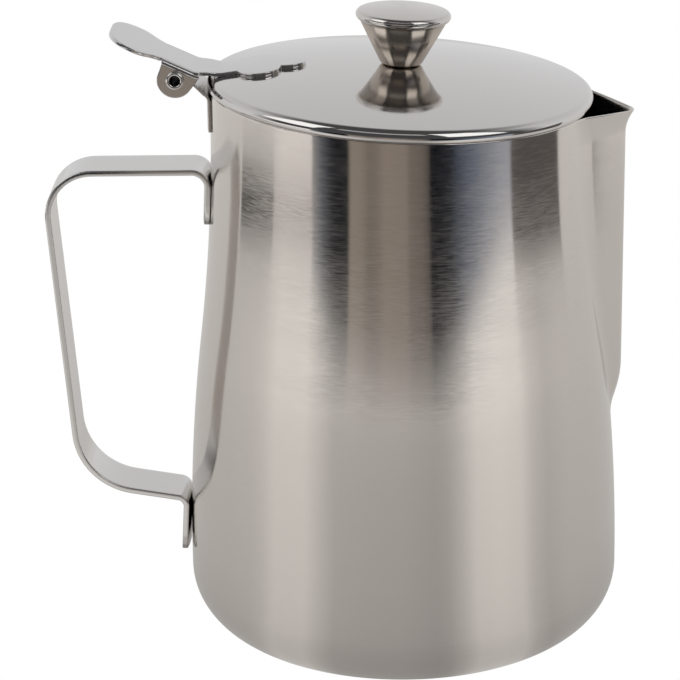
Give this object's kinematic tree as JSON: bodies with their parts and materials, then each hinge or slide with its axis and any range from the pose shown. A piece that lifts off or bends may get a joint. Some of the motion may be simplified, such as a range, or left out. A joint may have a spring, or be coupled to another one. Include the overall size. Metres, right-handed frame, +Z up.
{
  "type": "hot milk jug with hinged lid",
  "caption": "Tapered steel milk jug with a pouring spout, a bent strap handle, and a domed hinged lid with a thumb lever and a small knob.",
  "frame": {"origin": "centre of the flat underside, on the jug's axis", "axes": "+Z up, +X out through the spout, -X out through the handle and hinge"},
  "size_m": [0.1579, 0.1186, 0.1731],
  "materials": {
    "satin_body": "satin, fine brushing round the body",
    "handle_steel": "fine satin with polished edges",
    "hinge_steel": "polished",
    "polished_lever": "mirror polished",
    "polished_lid": "mirror polished",
    "knob_steel": "polished, turned",
    "brass_insert": "turned",
    "fixing_steel": "plain zinc-grey"
  },
  "bodies": {
    "jug": {"jug_body": "satin_body", "handle_strap": "handle_steel", "hinge_bracket": "hinge_steel"},
    "lid": {"lid_disc": "polished_lid", "thumb_lever": "polished_lever", "hinge_pin": "hinge_steel", "knob_cup": "knob_steel", "knob_cap": "knob_steel", "knob_insert": "brass_insert", "knob_screw": "fixing_steel", "knob_washer": "fixing_steel"}
  },
  "joints": [
    {"name": "lid_hinge", "type": "hinge", "parent": "jug", "child": "lid", "pos_m": [-0.05906, 0, 0.1561], "axis": [0, -1, 0], "range_deg": [0, 140]}
  ]
}
